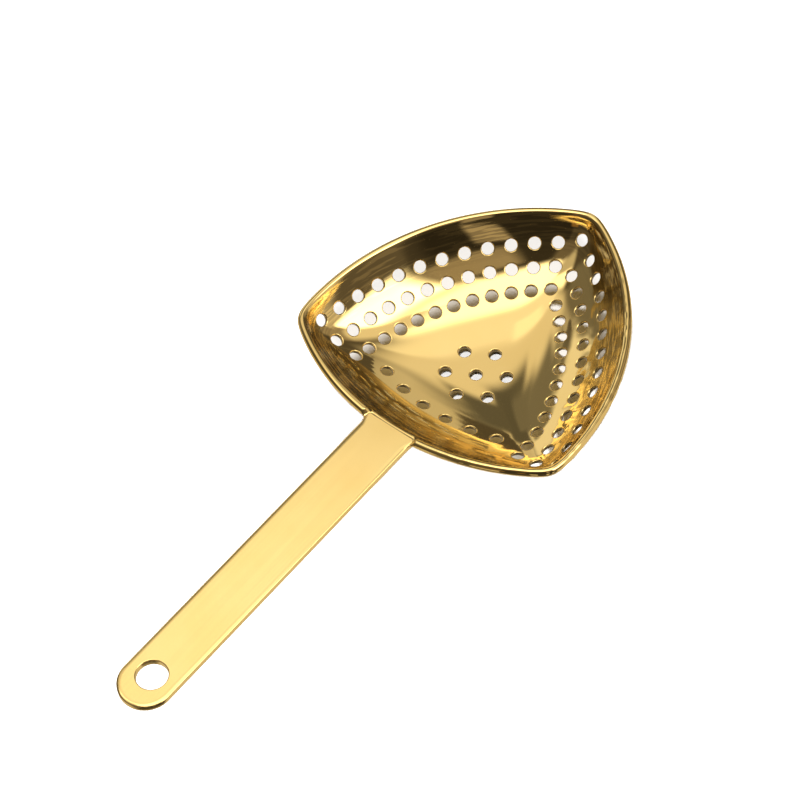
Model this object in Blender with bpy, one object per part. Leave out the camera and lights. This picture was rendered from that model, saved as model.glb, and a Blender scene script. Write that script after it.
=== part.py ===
"""A scoop cocktail strainer: a pressed, perforated three-cornered bowl on a flat bar handle.

The design frame has its origin on the bowl's axis, in the plane through the middle of the
rim bead. The handle runs along -X, one corner of the bowl points along +X, and the bowl
opens along +Z. An empty carries the finished pieces, so that in world space the origin is
the bottom centre of the whole object's bounding box.
"""

import math

import bmesh
import bpy
from mathutils import Matrix, Vector

MM = 0.001

# Rim bead: a round bead along a triangle of three arcs with blended corners.
BEAD_RADIUS = 1.07 * MM
RIM_INRADIUS = 34.5 * MM
RIM_BULGE = 0.535
RIM_SHARPNESS = 40

# Dish: the bowl's inner surface, from its lip on the bead down to the middle of the floor.
LIP_SLOPE = math.radians(50)
DISH_DEPTH = 14.0 * MM
DISH_POWER = 3.05
SHEET = 0.9 * MM

# Drain holes, laid out as arcs on both far sides of the bowl, on the handle side, and as a
# hexagon in the floor. Arc centres lie on the far side of the bowl's axis.
HOLE_RADIUS = 1.55 * MM
ROW_DIRECTION = math.radians(58)
OUTER_ROW = {"radius": 76.5 * MM, "centre": 48.1 * MM, "pitch": 5.77 * MM, "count": 13}
MIDDLE_ROW = {"radius": 68.9 * MM, "centre": 45.2 * MM, "pitch": 5.35 * MM, "count": 12}
INNER_ROW = {"radius": 60.0 * MM, "centre": 41.6 * MM, "pitch": 4.83 * MM, "count": 11}
MIDDLE_ROW_START = 2.45 * MM
HANDLE_SIDE_ROW = {"radius": 51.4 * MM, "centre": 32.5 * MM, "pitch": 6.82 * MM, "count": 3}
SIDE_CORNER_HOLE = (-18.05 * MM, 24.7 * MM)
HEXAGON_X = -3.1 * MM
HEXAGON_PITCH = 7.48 * MM

# Handle: a flat bar with a round end and a hanging hole.
HANDLE_WIDTH = 13.3 * MM
HANDLE_THICKNESS = 1.9 * MM
HANDLE_TOP = -0.1 * MM
HANDLE_TIP_X = -125.8 * MM
HANDLE_BUTT_X = -33.9 * MM
HANDLE_EDGE = 0.45 * MM
HANG_HOLE_X = -117.2 * MM
HANG_HOLE_RADIUS = 3.7 * MM

# Fillet weld under the handle's butt end.
WELD_LEG = 3.2 * MM
WELD_HALF_LENGTH = 6.2 * MM

GAP = 0.3 * MM

# Fineness of the faceted shapes.
BOWL_SIDES = 66
CORNER_CROWDING = 0.6
DISH_LEVELS = (1.0, 0.94, 0.875, 0.8, 0.72, 0.63, 0.53, 0.42, 0.29, 0.15)
BEAD_STEPS = 8
HOLE_SIDES = 12
HANG_HOLE_SIDES = 32
TIP_STEPS = 18
WELD_STEPS = 8

GOLD = (0.94, 0.72, 0.26, 1.0)
WELD_GOLD = (0.86, 0.62, 0.22, 1.0)


def side_distance(angle, inradius, bulge):
    """Distance from the axis to one side arc, at an angle from that side's middle."""
    radius = inradius / bulge
    offset = radius - inradius
    across = offset * math.sin(angle)
    return math.sqrt(radius * radius - across * across) - offset * math.cos(angle)


def outline_distance(theta, inradius, bulge, sharpness):
    """Polar radius of a three-sided outline whose corners are blended by a power mean."""
    total = 0.0
    for side in (60, 180, 300):
        distance = side_distance(theta - math.radians(side), inradius, bulge)
        total += distance ** -sharpness
    return total ** (-1.0 / sharpness)


def rim_point(theta):
    """A point on the bead's centre line."""
    radius = outline_distance(theta, RIM_INRADIUS, RIM_BULGE, RIM_SHARPNESS)
    return Vector((radius * math.cos(theta), radius * math.sin(theta), 0.0))


def level_bulge(level):
    """Bulge of a level curve: rounder at the lip and at the middle of the floor."""
    return 0.31 + 0.22 * level ** 7 + 0.69 * (1.0 - level) ** 6


def level_sharpness(level):
    """Corner sharpness of a level curve: crisp under the lip, soft towards the floor."""
    return 6.0 + 26.0 * level ** 4


def dish_point(theta, level):
    """A point on the dish; level is 1 at the lip and 0 at the axis."""
    lip_z = BEAD_RADIUS * math.cos(LIP_SLOPE)
    z = lip_z - DISH_DEPTH * (1.0 - level ** DISH_POWER)
    if level <= 0.0:
        return Vector((0.0, 0.0, z))
    inradius = (RIM_INRADIUS - BEAD_RADIUS * math.sin(LIP_SLOPE)) * level
    radius = outline_distance(theta, inradius, level_bulge(level), level_sharpness(level))
    return Vector((radius * math.cos(theta), radius * math.sin(theta), z))


def dish_normal(theta, level):
    """Unit normal of the dish, pointing up and into the bowl."""
    if level <= 0.0:
        return Vector((0.0, 0.0, 1.0))
    step = 0.001
    along = dish_point(theta + step, level) - dish_point(theta - step, level)
    outward = dish_point(theta, level) - dish_point(theta, level - step)
    return outward.cross(along).normalized()


def dish_level_at(theta, radius):
    """The level whose curve passes through a polar position, found by bisection."""
    low, high = 0.0, 1.0
    for _ in range(40):
        middle = (low + high) / 2
        point = dish_point(theta, middle)
        if math.hypot(point.x, point.y) < radius:
            low = middle
        else:
            high = middle
    return low


def crowded_angle(step, steps):
    """Angle of a mesh column, with the columns crowded towards the three corners."""
    turn = 2 * math.pi * step / steps
    return turn - CORNER_CROWDING / 3 * math.sin(3 * turn)


def new_object(name, bm, parent, material=None):
    """Closes a bmesh into an object under the parent empty."""
    bmesh.ops.recalc_face_normals(bm, faces=bm.faces)
    mesh = bpy.data.meshes.new(name)
    bm.to_mesh(mesh)
    bm.free()
    obj = bpy.data.objects.new(name, mesh)
    bpy.context.collection.objects.link(obj)
    obj.parent = parent
    if material:
        mesh.materials.append(material)
    return obj


def metal(name, colour, roughness):
    """A polished metal."""
    material = bpy.data.materials.new(name)
    material.use_nodes = True
    shader = material.node_tree.nodes["Principled BSDF"]
    shader.inputs["Base Color"].default_value = colour
    shader.inputs["Metallic"].default_value = 1.0
    shader.inputs["Roughness"].default_value = roughness
    return material


def shade(obj, sharp_degrees):
    """Smooth shading with sharp edges where faces turn by more than the angle."""
    obj.data.shade_smooth()
    obj.data.set_sharp_from_angle(angle=math.radians(sharp_degrees))


def cut(obj, cutter):
    """Adds a Boolean modifier and turns the cutter into a hidden guide."""
    modifier = obj.modifiers.new(cutter.name, "BOOLEAN")
    modifier.operation = "DIFFERENCE"
    modifier.solver = "EXACT"
    modifier.object = cutter
    cutter.hide_render = True
    cutter.display_type = "WIRE"


def bead_ring_offsets():
    """Offsets (outward, up) round the bead, from the dish's lip over the top to the back."""
    first = LIP_SLOPE + math.pi / 2
    wall_arc = math.acos(1.0 - SHEET / BEAD_RADIUS)
    sweep = 2 * math.pi - wall_arc
    offsets = []
    for step in range(1, BEAD_STEPS + 1):
        angle = first - sweep * step / BEAD_STEPS
        offsets.append((BEAD_RADIUS * math.cos(angle), BEAD_RADIUS * math.sin(angle)))
    return offsets


def bowl_section(theta):
    """One column of the bowl's closed skin, from above the axis round to below it."""
    column = [dish_point(theta, level) for level in reversed(DISH_LEVELS)]
    centre = rim_point(theta)
    outward = Vector((math.cos(theta), math.sin(theta), 0.0))
    column[-1] = lip_point(theta)
    for across, up in bead_ring_offsets():
        column.append(centre + outward * across + Vector((0.0, 0.0, up)))
    for level in DISH_LEVELS[1:]:
        column.append(dish_point(theta, level) - dish_normal(theta, level) * SHEET)
    return column


def lip_point(theta):
    """Where the dish runs tangentially into the bead."""
    outward = Vector((math.cos(theta), math.sin(theta), 0.0))
    inset = outward * (BEAD_RADIUS * math.sin(LIP_SLOPE))
    rise = Vector((0.0, 0.0, BEAD_RADIUS * math.cos(LIP_SLOPE)))
    return rim_point(theta) - inset + rise


def bowl_blank():
    """The pressed bowl before piercing: dish, rolled bead and underside in one skin."""
    bm = bmesh.new()
    columns = []
    for step in range(BOWL_SIDES):
        section = bowl_section(crowded_angle(step, BOWL_SIDES))
        columns.append([bm.verts.new(point) for point in section])
    top = bm.verts.new(dish_point(0.0, 0.0))
    bottom = bm.verts.new(dish_point(0.0, 0.0) - Vector((0.0, 0.0, SHEET)))
    for step in range(BOWL_SIDES):
        here, there = columns[step], columns[(step + 1) % BOWL_SIDES]
        bm.faces.new((top, here[0], there[0]))
        bm.faces.new((bottom, there[-1], here[-1]))
        for row in range(len(here) - 1):
            bm.faces.new((here[row], here[row + 1], there[row + 1], there[row]))
    return bm


def arc_holes(row, direction, first_angle):
    """Hole positions along one arc, stepping round its centre from the first angle."""
    centre = Vector((math.cos(direction), math.sin(direction))) * -row["centre"]
    step = row["pitch"] / row["radius"]
    positions = []
    for number in range(row["count"]):
        angle = first_angle + step * number
        ray = Vector((math.cos(angle), math.sin(angle)))
        positions.append(centre + ray * row["radius"])
    return positions


def far_side_row(row, start_y):
    """A row along the +Y far side, starting at a height y beside the far corner."""
    rise = start_y + row["centre"] * math.sin(ROW_DIRECTION)
    return arc_holes(row, ROW_DIRECTION, math.asin(rise / row["radius"]))


def handle_side_row():
    """The +Y half of the row along the handle side, starting half a pitch off the axis."""
    half_step = HANDLE_SIDE_ROW["pitch"] / HANDLE_SIDE_ROW["radius"] / 2
    return arc_holes(HANDLE_SIDE_ROW, math.pi, math.pi + half_step)


def hole_positions():
    """Every drain hole's centre in plan."""
    half = far_side_row(OUTER_ROW, 0.0)[1:]
    half += far_side_row(MIDDLE_ROW, MIDDLE_ROW_START)
    half += far_side_row(INNER_ROW, 0.0)[1:]
    half += [Vector((p.x, -p.y)) for p in handle_side_row()]
    half.append(Vector(SIDE_CORNER_HOLE))
    positions = half + [Vector((p.x, -p.y)) for p in half]
    positions += [far_side_row(OUTER_ROW, 0.0)[0], far_side_row(INNER_ROW, 0.0)[0]]
    positions.append(Vector((HEXAGON_X, 0.0)))
    for corner in range(6):
        turn = math.radians(60 * corner)
        ray = Vector((math.cos(turn), math.sin(turn)))
        positions.append(Vector((HEXAGON_X, 0.0)) + ray * HEXAGON_PITCH)
    return positions


def hole_punches():
    """A round punch through the sheet at every drain hole, square to the dish."""
    bm = bmesh.new()
    for position in hole_positions():
        theta = math.atan2(position.y, position.x)
        level = dish_level_at(theta, position.length)
        normal = dish_normal(theta, level)
        place = Matrix.Translation(dish_point(theta, level) - normal * SHEET / 2)
        turn = normal.to_track_quat("Z", "Y").to_matrix().to_4x4()
        bmesh.ops.create_cone(
            bm,
            cap_ends=True,
            segments=HOLE_SIDES,
            radius1=HOLE_RADIUS,
            radius2=HOLE_RADIUS,
            depth=SHEET * 3,
            matrix=place @ turn,
        )
    return bm


def box(bm, low, high):
    """Adds a box between two corners."""
    size = [high[i] - low[i] for i in range(3)]
    middle = [(high[i] + low[i]) / 2 for i in range(3)]
    place = Matrix.Translation(middle) @ Matrix.Diagonal((*size, 1.0))
    bmesh.ops.create_cube(bm, size=1.0, matrix=place)


def seat_cutter():
    """The slot that the handle's butt end needs in the bead, open outward."""
    bm = bmesh.new()
    half = HANDLE_WIDTH / 2 + GAP
    beyond = -RIM_INRADIUS - 3 * BEAD_RADIUS
    floor = HANDLE_TOP - HANDLE_THICKNESS - GAP
    above = 3 * BEAD_RADIUS
    box(bm, (beyond, -half, floor), (HANDLE_BUTT_X + GAP, half, above))
    return bm


def lip_cutter():
    """What is ground off the lip in front of the handle, level with the handle's top."""
    bm = bmesh.new()
    half = HANDLE_WIDTH / 2 + GAP
    beyond = -RIM_INRADIUS - 2 * BEAD_RADIUS
    inside = -RIM_INRADIUS + 5 * BEAD_RADIUS
    box(bm, (beyond, -half, HANDLE_TOP), (inside, half, 2 * BEAD_RADIUS))
    return bm


def make_bowl(parent, material):
    """The bowl: blank, drain holes, and the seat for the handle."""
    bowl = new_object("strainer_bowl", bowl_blank(), parent, material)
    cut(bowl, new_object("hole_punches", hole_punches(), parent))
    cut(bowl, new_object("handle_seat_cutter", seat_cutter(), parent))
    cut(bowl, new_object("lip_cutter", lip_cutter(), parent))
    shade(bowl, 40)
    return bowl


def handle_outline():
    """Plan of the handle: a square butt end, straight sides and a half-round tip."""
    half = HANDLE_WIDTH / 2
    tip_centre = HANDLE_TIP_X + half
    points = [(HANDLE_BUTT_X, -half), (HANDLE_BUTT_X, half)]
    for step in range(TIP_STEPS + 1):
        angle = math.pi / 2 + math.pi * step / TIP_STEPS
        points.append((tip_centre + half * math.cos(angle), half * math.sin(angle)))
    return points


def handle_blank():
    """The handle's outline, extruded to its thickness."""
    bm = bmesh.new()
    floor = HANDLE_TOP - HANDLE_THICKNESS
    face = bm.faces.new([bm.verts.new((x, y, floor)) for x, y in handle_outline()])
    grown = bmesh.ops.extrude_face_region(bm, geom=[face])
    raised = [item for item in grown["geom"] if isinstance(item, bmesh.types.BMVert)]
    bmesh.ops.translate(bm, verts=raised, vec=(0.0, 0.0, HANDLE_THICKNESS))
    return bm


def hang_hole_cutter():
    """A drill through the handle near its tip."""
    bm = bmesh.new()
    middle = HANDLE_TOP - HANDLE_THICKNESS / 2
    bmesh.ops.create_cone(
        bm,
        cap_ends=True,
        segments=HANG_HOLE_SIDES,
        radius1=HANG_HOLE_RADIUS,
        radius2=HANG_HOLE_RADIUS,
        depth=3 * HANDLE_THICKNESS,
        matrix=Matrix.Translation((HANG_HOLE_X, 0.0, middle)),
    )
    return bm


def make_handle(parent, material):
    """The handle with its hanging hole and eased edges."""
    handle = new_object("handle", handle_blank(), parent, material)
    cut(handle, new_object("hang_hole_cutter", hang_hole_cutter(), parent))
    bevel = handle.modifiers.new("eased_edges", "BEVEL")
    bevel.width = HANDLE_EDGE
    bevel.segments = 2
    bevel.limit_method = "ANGLE"
    bevel.angle_limit = math.radians(50)
    shade(handle, 30)
    return handle


def wall_back_point(y, z):
    """A point of the bowl's outer surface on the handle side, at a given y and height."""
    low, high = 0.3, 1.0
    for _ in range(40):
        level = (low + high) / 2
        theta = math.pi
        for _ in range(6):
            radius = dish_point(theta, level).xy.length
            theta = math.pi - math.asin(y / radius)
        back = dish_point(theta, level) - dish_normal(theta, level) * SHEET
        if back.z < z:
            low = level
        else:
            high = level
    return back


def weld_section(bm, y):
    """One three-cornered section of the weld at a given y: two legs and a face."""
    under = HANDLE_TOP - HANDLE_THICKNESS - GAP
    root = wall_back_point(y, under)
    foot = wall_back_point(y, under - WELD_LEG)
    corners = [
        (root.x - 2 * GAP - WELD_LEG, y, under),
        (root.x - 2 * GAP, y, under),
        (foot.x - 2 * GAP, y, foot.z),
    ]
    return [bm.verts.new(corner) for corner in corners]


def weld_fillet():
    """The fillet in the corner between the handle's underside and the bowl's back."""
    bm = bmesh.new()
    sections = []
    for step in range(WELD_STEPS + 1):
        y = WELD_HALF_LENGTH * (2 * step / WELD_STEPS - 1)
        sections.append(weld_section(bm, y))
    for here, there in zip(sections, sections[1:]):
        for corner in range(3):
            after = (corner + 1) % 3
            bm.faces.new((here[corner], here[after], there[after], there[corner]))
    bm.faces.new(sections[0])
    bm.faces.new(sections[-1])
    return bm


def make_frame():
    """The empty that sets the finished object on its bounding box's bottom centre."""
    frame = bpy.data.objects.new("strainer_frame", None)
    bpy.context.collection.objects.link(frame)
    far_end = rim_point(0.0).x + BEAD_RADIUS
    floor = dish_point(0.0, 0.0).z - SHEET
    frame.location = (-(far_end + HANDLE_TIP_X) / 2, 0.0, -floor)
    return frame


def main():
    """Builds the strainer."""
    for obj in list(bpy.data.objects):
        bpy.data.objects.remove(obj)
    frame = make_frame()
    polished = metal("polished_gold", GOLD, 0.12)
    satin = metal("satin_gold", GOLD, 0.22)
    weld = metal("weld_gold", WELD_GOLD, 0.35)
    make_bowl(frame, polished)
    make_handle(frame, satin)
    new_object("weld_fillet", weld_fillet(), frame, weld)


main()
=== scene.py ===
"""Looks for the scoop strainer: fine meshes for the bowl, handle and weld, gold finishes, studio.

Shapes repeat the design of the CAD part. The design frame has its origin on the bowl's axis
in the plane of the rim bead's centre line; it is placed in the world from the CAD boxes.
"""

import math

import bpy
import numpy as np
from mathutils import Matrix, Vector, geometry


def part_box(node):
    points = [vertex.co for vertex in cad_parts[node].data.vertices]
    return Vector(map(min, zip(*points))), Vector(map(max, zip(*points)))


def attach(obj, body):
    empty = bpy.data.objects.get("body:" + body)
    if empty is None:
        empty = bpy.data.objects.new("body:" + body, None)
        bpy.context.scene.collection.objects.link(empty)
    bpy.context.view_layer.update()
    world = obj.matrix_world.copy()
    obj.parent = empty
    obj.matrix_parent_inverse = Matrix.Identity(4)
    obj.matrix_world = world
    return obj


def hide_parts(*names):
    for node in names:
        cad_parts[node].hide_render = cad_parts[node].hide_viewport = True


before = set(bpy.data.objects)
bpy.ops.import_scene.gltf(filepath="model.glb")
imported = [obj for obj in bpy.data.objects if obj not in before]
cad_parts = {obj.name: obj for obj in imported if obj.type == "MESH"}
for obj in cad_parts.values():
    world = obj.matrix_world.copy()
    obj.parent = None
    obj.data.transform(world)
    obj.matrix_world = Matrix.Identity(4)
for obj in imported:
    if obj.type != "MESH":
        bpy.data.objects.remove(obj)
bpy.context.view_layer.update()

MM = 0.001
UP = np.array([0.0, 0.0, 1.0])

# Driving dimensions of the part, as in the CAD.
BEAD_RADIUS = 1.07 * MM
RIM_INRADIUS = 34.5 * MM
RIM_BULGE = 0.535
RIM_SHARPNESS = 40
LIP_SLOPE = math.radians(50)
DISH_DEPTH = 14.0 * MM
DISH_POWER = 3.05
SHEET = 0.9 * MM
HOLE_RADIUS = 1.55 * MM
ROW_DIRECTION = math.radians(58)
OUTER_ROW = {"radius": 76.5 * MM, "centre": 48.1 * MM, "pitch": 5.77 * MM, "count": 13}
MIDDLE_ROW = {"radius": 68.9 * MM, "centre": 45.2 * MM, "pitch": 5.35 * MM, "count": 12}
INNER_ROW = {"radius": 60.0 * MM, "centre": 41.6 * MM, "pitch": 4.83 * MM, "count": 11}
MIDDLE_ROW_START = 2.45 * MM
HANDLE_SIDE_ROW = {"radius": 51.4 * MM, "centre": 32.5 * MM, "pitch": 6.82 * MM, "count": 3}
SIDE_CORNER_HOLE = (-18.05 * MM, 24.7 * MM)
HEXAGON_X = -3.1 * MM
HEXAGON_PITCH = 7.48 * MM
HANDLE_WIDTH = 13.3 * MM
HANDLE_THICKNESS = 1.9 * MM
HANDLE_TOP = -0.1 * MM
HANDLE_TIP_X = -125.8 * MM
SEAT_X = -33.6 * MM
HANG_HOLE_X = -117.2 * MM
HANG_HOLE_RADIUS = 3.7 * MM
WELD_LEG = 3.2 * MM
WELD_HALF_LENGTH = 6.2 * MM

# Fine shape of edges and seams.
HOLE_EDGE = 0.26 * MM
HOLE_BACK_EDGE = 0.12 * MM
LIP_EDGE = 0.35 * MM
HANDLE_EDGE_WIDTH = 1.25 * MM
HANDLE_EDGE_DROP = 0.32 * MM
HANDLE_UNDER_EDGE = 0.4 * MM
BUTT_EDGE_SHARE = 0.03
BUTT_EASE = 0.1
BUTT_EASE_LENGTH = 3.5 * MM
HANG_HOLE_EDGE = 0.3 * MM
SEAM = 0.01 * MM
HEIGHT_BLEND = 1.3 * MM
FLANK_BLEND = 0.2 * MM
WELD_END_LEG = 0.05 * MM
WELD_HOLLOW = 0.28
WELD_RIPPLE = 0.12
TOE_LEG = 1.0 * MM
TOE_TOP = -0.13 * MM
TOE_BOTTOM = -1.0 * MM
TOE_SPREADS = ((0.0, 0.6), (0.06, 0.85), (0.18, 1.0), (0.6, 1.0), (1.0, 0.8))

# Fineness of the meshes. The bowl's net of triangles ends at NET_LEVEL, where the rim starts.
LATTICE_PITCH = 0.75 * MM
RING_GAP = 0.3 * MM
NET_LEVEL = 0.95
GUARD_LEVEL = 0.935
LATTICE_LEVEL = 0.92
RIM_COLUMNS = 480
CORNER_CROWDING = 0.6
BLEND_COLUMNS = 24
WALL_ROWS = 5
BEAD_STEPS = 20
HOLE_SIDES = 32
EDGE_STEPS = 5
HANDLE_LATTICE = 2.0 * MM
LATTICE_MARGIN = 0.6 * MM
BUTT_MARGIN = 1.0 * MM
BUTT_COLUMNS = 9
TIP_STEPS = 64
HANG_HOLE_SIDES = 72
WELD_STEPS = 40
TOE_STEPS = 10

# The "line" attribute is the dish's level, goes on rising round the bead and marks the cuts.
BEAD_LINE_STEP = 0.008
CUT_LINE = 2.0


def dish_values(values):
    """Levels as an array, kept off the axis where the outline has no direction."""
    return np.maximum(np.asarray(values, dtype=float), 1e-4)


def side_distance(angle, inradius, bulge):
    """Distance from the axis to one side arc, at an angle from that side's middle."""
    radius = inradius / bulge
    offset = radius - inradius
    across = offset * np.sin(angle)
    return np.sqrt(radius * radius - across * across) - offset * np.cos(angle)


def outline_distance(theta, inradius, bulge, sharpness):
    """Polar radius of a three-sided outline whose corners are blended by a power mean."""
    total = 0.0
    for side in (60, 180, 300):
        total = total + side_distance(theta - math.radians(side), inradius, bulge) ** -sharpness
    return total ** (-1.0 / sharpness)


def rim_distance(theta):
    """Polar radius of the bead's centre line."""
    return outline_distance(theta, RIM_INRADIUS, RIM_BULGE, RIM_SHARPNESS)


def dish_points(theta, level):
    """Points on the dish; level is 1 at the lip and 0 at the axis.

    The outline's sides are flattest half-way down and its corners soften towards the axis.
    """
    level = dish_values(level)
    bulge = 0.31 + 0.22 * level ** 7 + 0.69 * (1.0 - level) ** 6
    inradius = (RIM_INRADIUS - BEAD_RADIUS * math.sin(LIP_SLOPE)) * level
    sharpness = 6.0 + 26.0 * level ** 4
    radius = outline_distance(theta, inradius, bulge, sharpness)
    z = BEAD_RADIUS * math.cos(LIP_SLOPE) - DISH_DEPTH * (1.0 - level ** DISH_POWER)
    return np.stack([radius * np.cos(theta), radius * np.sin(theta), z], axis=-1)


def unit(vectors):
    """Vectors scaled to length one."""
    return vectors / np.linalg.norm(vectors, axis=-1, keepdims=True)


def dish_normals(theta, level):
    """Unit normals of the dish, pointing up and into the bowl."""
    level = dish_values(level)
    turn = 1e-4
    step = np.minimum(1e-4, level / 2)
    along = dish_points(theta + turn, level) - dish_points(theta - turn, level)
    outward = dish_points(theta, level + step) - dish_points(theta, level - step)
    normals = np.cross(outward, along)
    normals[level < 0.004] = (0.0, 0.0, 1.0)
    return unit(normals)


def dish_under(points):
    """Angle and level of the dish points straight under or over the given points."""
    theta = np.arctan2(points[:, 1], points[:, 0])
    reach = np.hypot(points[:, 0], points[:, 1])
    low = np.zeros(len(points))
    high = np.full(len(points), 1.05)
    for _ in range(36):
        middle = (low + high) / 2
        found = dish_points(theta, middle)
        inside = np.hypot(found[:, 0], found[:, 1]) < reach
        low = np.where(inside, middle, low)
        high = np.where(inside, high, middle)
    return theta, low


def slide_to_dish(points, axis):
    """Points slid along an axis until they lie on the dish."""
    for _ in range(8):
        theta, level = dish_under(points)
        over = points[:, 2] - dish_points(theta, level)[:, 2]
        points = points - np.outer(over * axis[2], axis)
    return points


def crowded_angle(step, steps):
    """Angle of a mesh column, with the columns crowded towards the three corners."""
    turn = 2 * math.pi * step / steps
    return turn - CORNER_CROWDING / 3 * math.sin(3 * turn)


def arc_holes(row, direction, first_angle):
    """Hole positions along one arc, stepping round its centre from the first angle."""
    centre = Vector((math.cos(direction), math.sin(direction))) * -row["centre"]
    step = row["pitch"] / row["radius"]
    positions = []
    for number in range(row["count"]):
        angle = first_angle + step * number
        ray = Vector((math.cos(angle), math.sin(angle)))
        positions.append(centre + ray * row["radius"])
    return positions


def far_side_row(row, start_y):
    """A row along the +Y far side, starting beside the far corner at a given y."""
    rise = start_y + row["centre"] * math.sin(ROW_DIRECTION)
    return arc_holes(row, ROW_DIRECTION, math.asin(rise / row["radius"]))


def hole_positions():
    """Every drain hole's centre in plan."""
    half_step = HANDLE_SIDE_ROW["pitch"] / HANDLE_SIDE_ROW["radius"] / 2
    handle_side = arc_holes(HANDLE_SIDE_ROW, math.pi, math.pi + half_step)
    half = far_side_row(OUTER_ROW, 0.0)[1:]
    half += far_side_row(MIDDLE_ROW, MIDDLE_ROW_START)
    half += far_side_row(INNER_ROW, 0.0)[1:]
    half += [Vector((p.x, -p.y)) for p in handle_side]
    half.append(Vector(SIDE_CORNER_HOLE))
    positions = half + [Vector((p.x, -p.y)) for p in half]
    positions += [far_side_row(OUTER_ROW, 0.0)[0], far_side_row(INNER_ROW, 0.0)[0]]
    positions.append(Vector((HEXAGON_X, 0.0)))
    for corner in range(6):
        turn = math.radians(60 * corner)
        ray = Vector((math.cos(turn), math.sin(turn)))
        positions.append(Vector((HEXAGON_X, 0.0)) + ray * HEXAGON_PITCH)
    return np.array([tuple(p) for p in positions])


class Skin:
    """Vertices, normals, line coordinates and faces of one mesh while it is being made."""

    def __init__(self):
        self.points = []
        self.normals = []
        self.lines = []
        self.faces = []

    def add(self, points, normals=None, lines=0.0):
        """Adds vertices and returns their numbers; no normals means smooth shading's own."""
        first = len(self.points)
        points = np.asarray(points)
        normals = np.zeros_like(points) if normals is None else normals
        self.points.extend(map(tuple, points))
        self.normals.extend(map(tuple, normals))
        self.lines.extend(np.broadcast_to(lines, len(points)).tolist())
        return np.arange(first, first + len(points))

    def bridge(self, ring, after):
        """Faces between two closed rings with the same number of vertices."""
        count = len(ring)
        for i in range(count):
            j = (i + 1) % count
            self.faces.append((ring[i], ring[j], after[j], after[i]))

    def make(self, name, origin):
        """The finished object; origin places the design frame in the world."""
        mesh = bpy.data.meshes.new(name)
        points = np.array(self.points) + np.array(origin)
        mesh.from_pydata(points.tolist(), [], [tuple(map(int, f)) for f in self.faces])
        mesh.shade_smooth()
        line = mesh.attributes.new("line", "FLOAT", "POINT")
        line.data.foreach_set("value", np.array(self.lines, dtype=np.float32))
        mesh.normals_split_custom_set_from_vertices(self.normals)
        obj = bpy.data.objects.new(name, mesh)
        bpy.context.collection.objects.link(obj)
        return obj


def hexagon_lattice(low, high, pitch):
    """Points of a triangular lattice between two plan corners."""
    points = []
    rows = int((high[1] - low[1]) / (pitch * math.sqrt(0.75))) + 1
    for row in range(rows):
        start = low[0] + pitch * 0.5 * (row % 2)
        count = int((high[0] - start) / pitch) + 1
        y = low[1] + row * pitch * math.sqrt(0.75)
        points.append(np.stack([start + pitch * np.arange(count), np.full(count, y)], axis=-1))
    return np.concatenate(points)


def fill_plan(plan, border, rings):
    """Triangles of a plan with a border loop and open rings, all given as vertex numbers."""
    edges = []
    for loop in [border, *rings]:
        edges += [(int(a), int(b)) for a, b in zip(loop, np.roll(loop, -1))]
    coords = [Vector(p) for p in (plan / MM).tolist()]
    made = geometry.delaunay_2d_cdt(coords, edges, [border.tolist()], 1, 1e-6)
    found, triangles, sources = made[0], made[2], made[3]
    original = [source[0] for source in sources]
    ring_of = {int(v): number for number, ring in enumerate(rings) for v in ring}
    kept = []
    for triangle in triangles:
        corners = [original[v] for v in triangle]
        owners = {ring_of.get(v, -1 - v) for v in corners}
        if len(owners) > 1:
            a, b, c = (found[v] for v in triangle)
            turned = (b - a).cross(c - a) < 0
            kept.append(tuple(reversed(corners)) if turned else tuple(corners))
    return kept


def eased(share):
    """A share from 0 to 1, eased in and out."""
    return share * share * (3.0 - 2.0 * share)


def handle_share(theta, length):
    """How far a rim column belongs to the handle's seat: 1 in front of it, 0 past a length."""
    if math.cos(theta) > 0:
        return 0.0
    y = abs(float(rim_distance(theta)) * math.sin(theta))
    past = min(max((y - HANDLE_WIDTH / 2 - SEAM) / length, 0.0), 1.0)
    return 1.0 - eased(past)


def rim_angles():
    """Angles of the rim's columns, with extra columns where the bead ends at the handle."""
    angles = [crowded_angle(step, RIM_COLUMNS) for step in range(RIM_COLUMNS)]
    ends = HEIGHT_BLEND * np.linspace(0.0, 1.0, BLEND_COLUMNS) ** 1.5 + HANDLE_WIDTH / 2 + SEAM
    near = np.arcsin(ends / RIM_INRADIUS)
    extra = np.concatenate([math.pi - near, math.pi + near])
    apart = np.min(np.abs(np.subtract.outer(angles, extra)), axis=1)
    angles = np.array(angles)[apart > 0.3 * (near[-1] - near[-2])]
    return np.sort(np.concatenate([angles, extra]))


def arc(centre, radius, start, end, steps):
    """Offsets along an arc in a section, angles in radians."""
    angles = np.linspace(start, end, steps)
    return np.stack([centre[0] + radius * np.cos(angles), centre[1] + radius * np.sin(angles)], -1)


def wall_section(theta, first, last, rows, depth):
    """Radius and height of the wall between two levels, at a depth below the inner surface."""
    levels = np.linspace(first, last, rows)
    angles = np.full(rows, theta)
    points = dish_points(angles, levels) - depth * dish_normals(angles, levels)
    return np.stack([np.hypot(points[:, 0], points[:, 1]), points[:, 2]], axis=-1)


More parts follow.
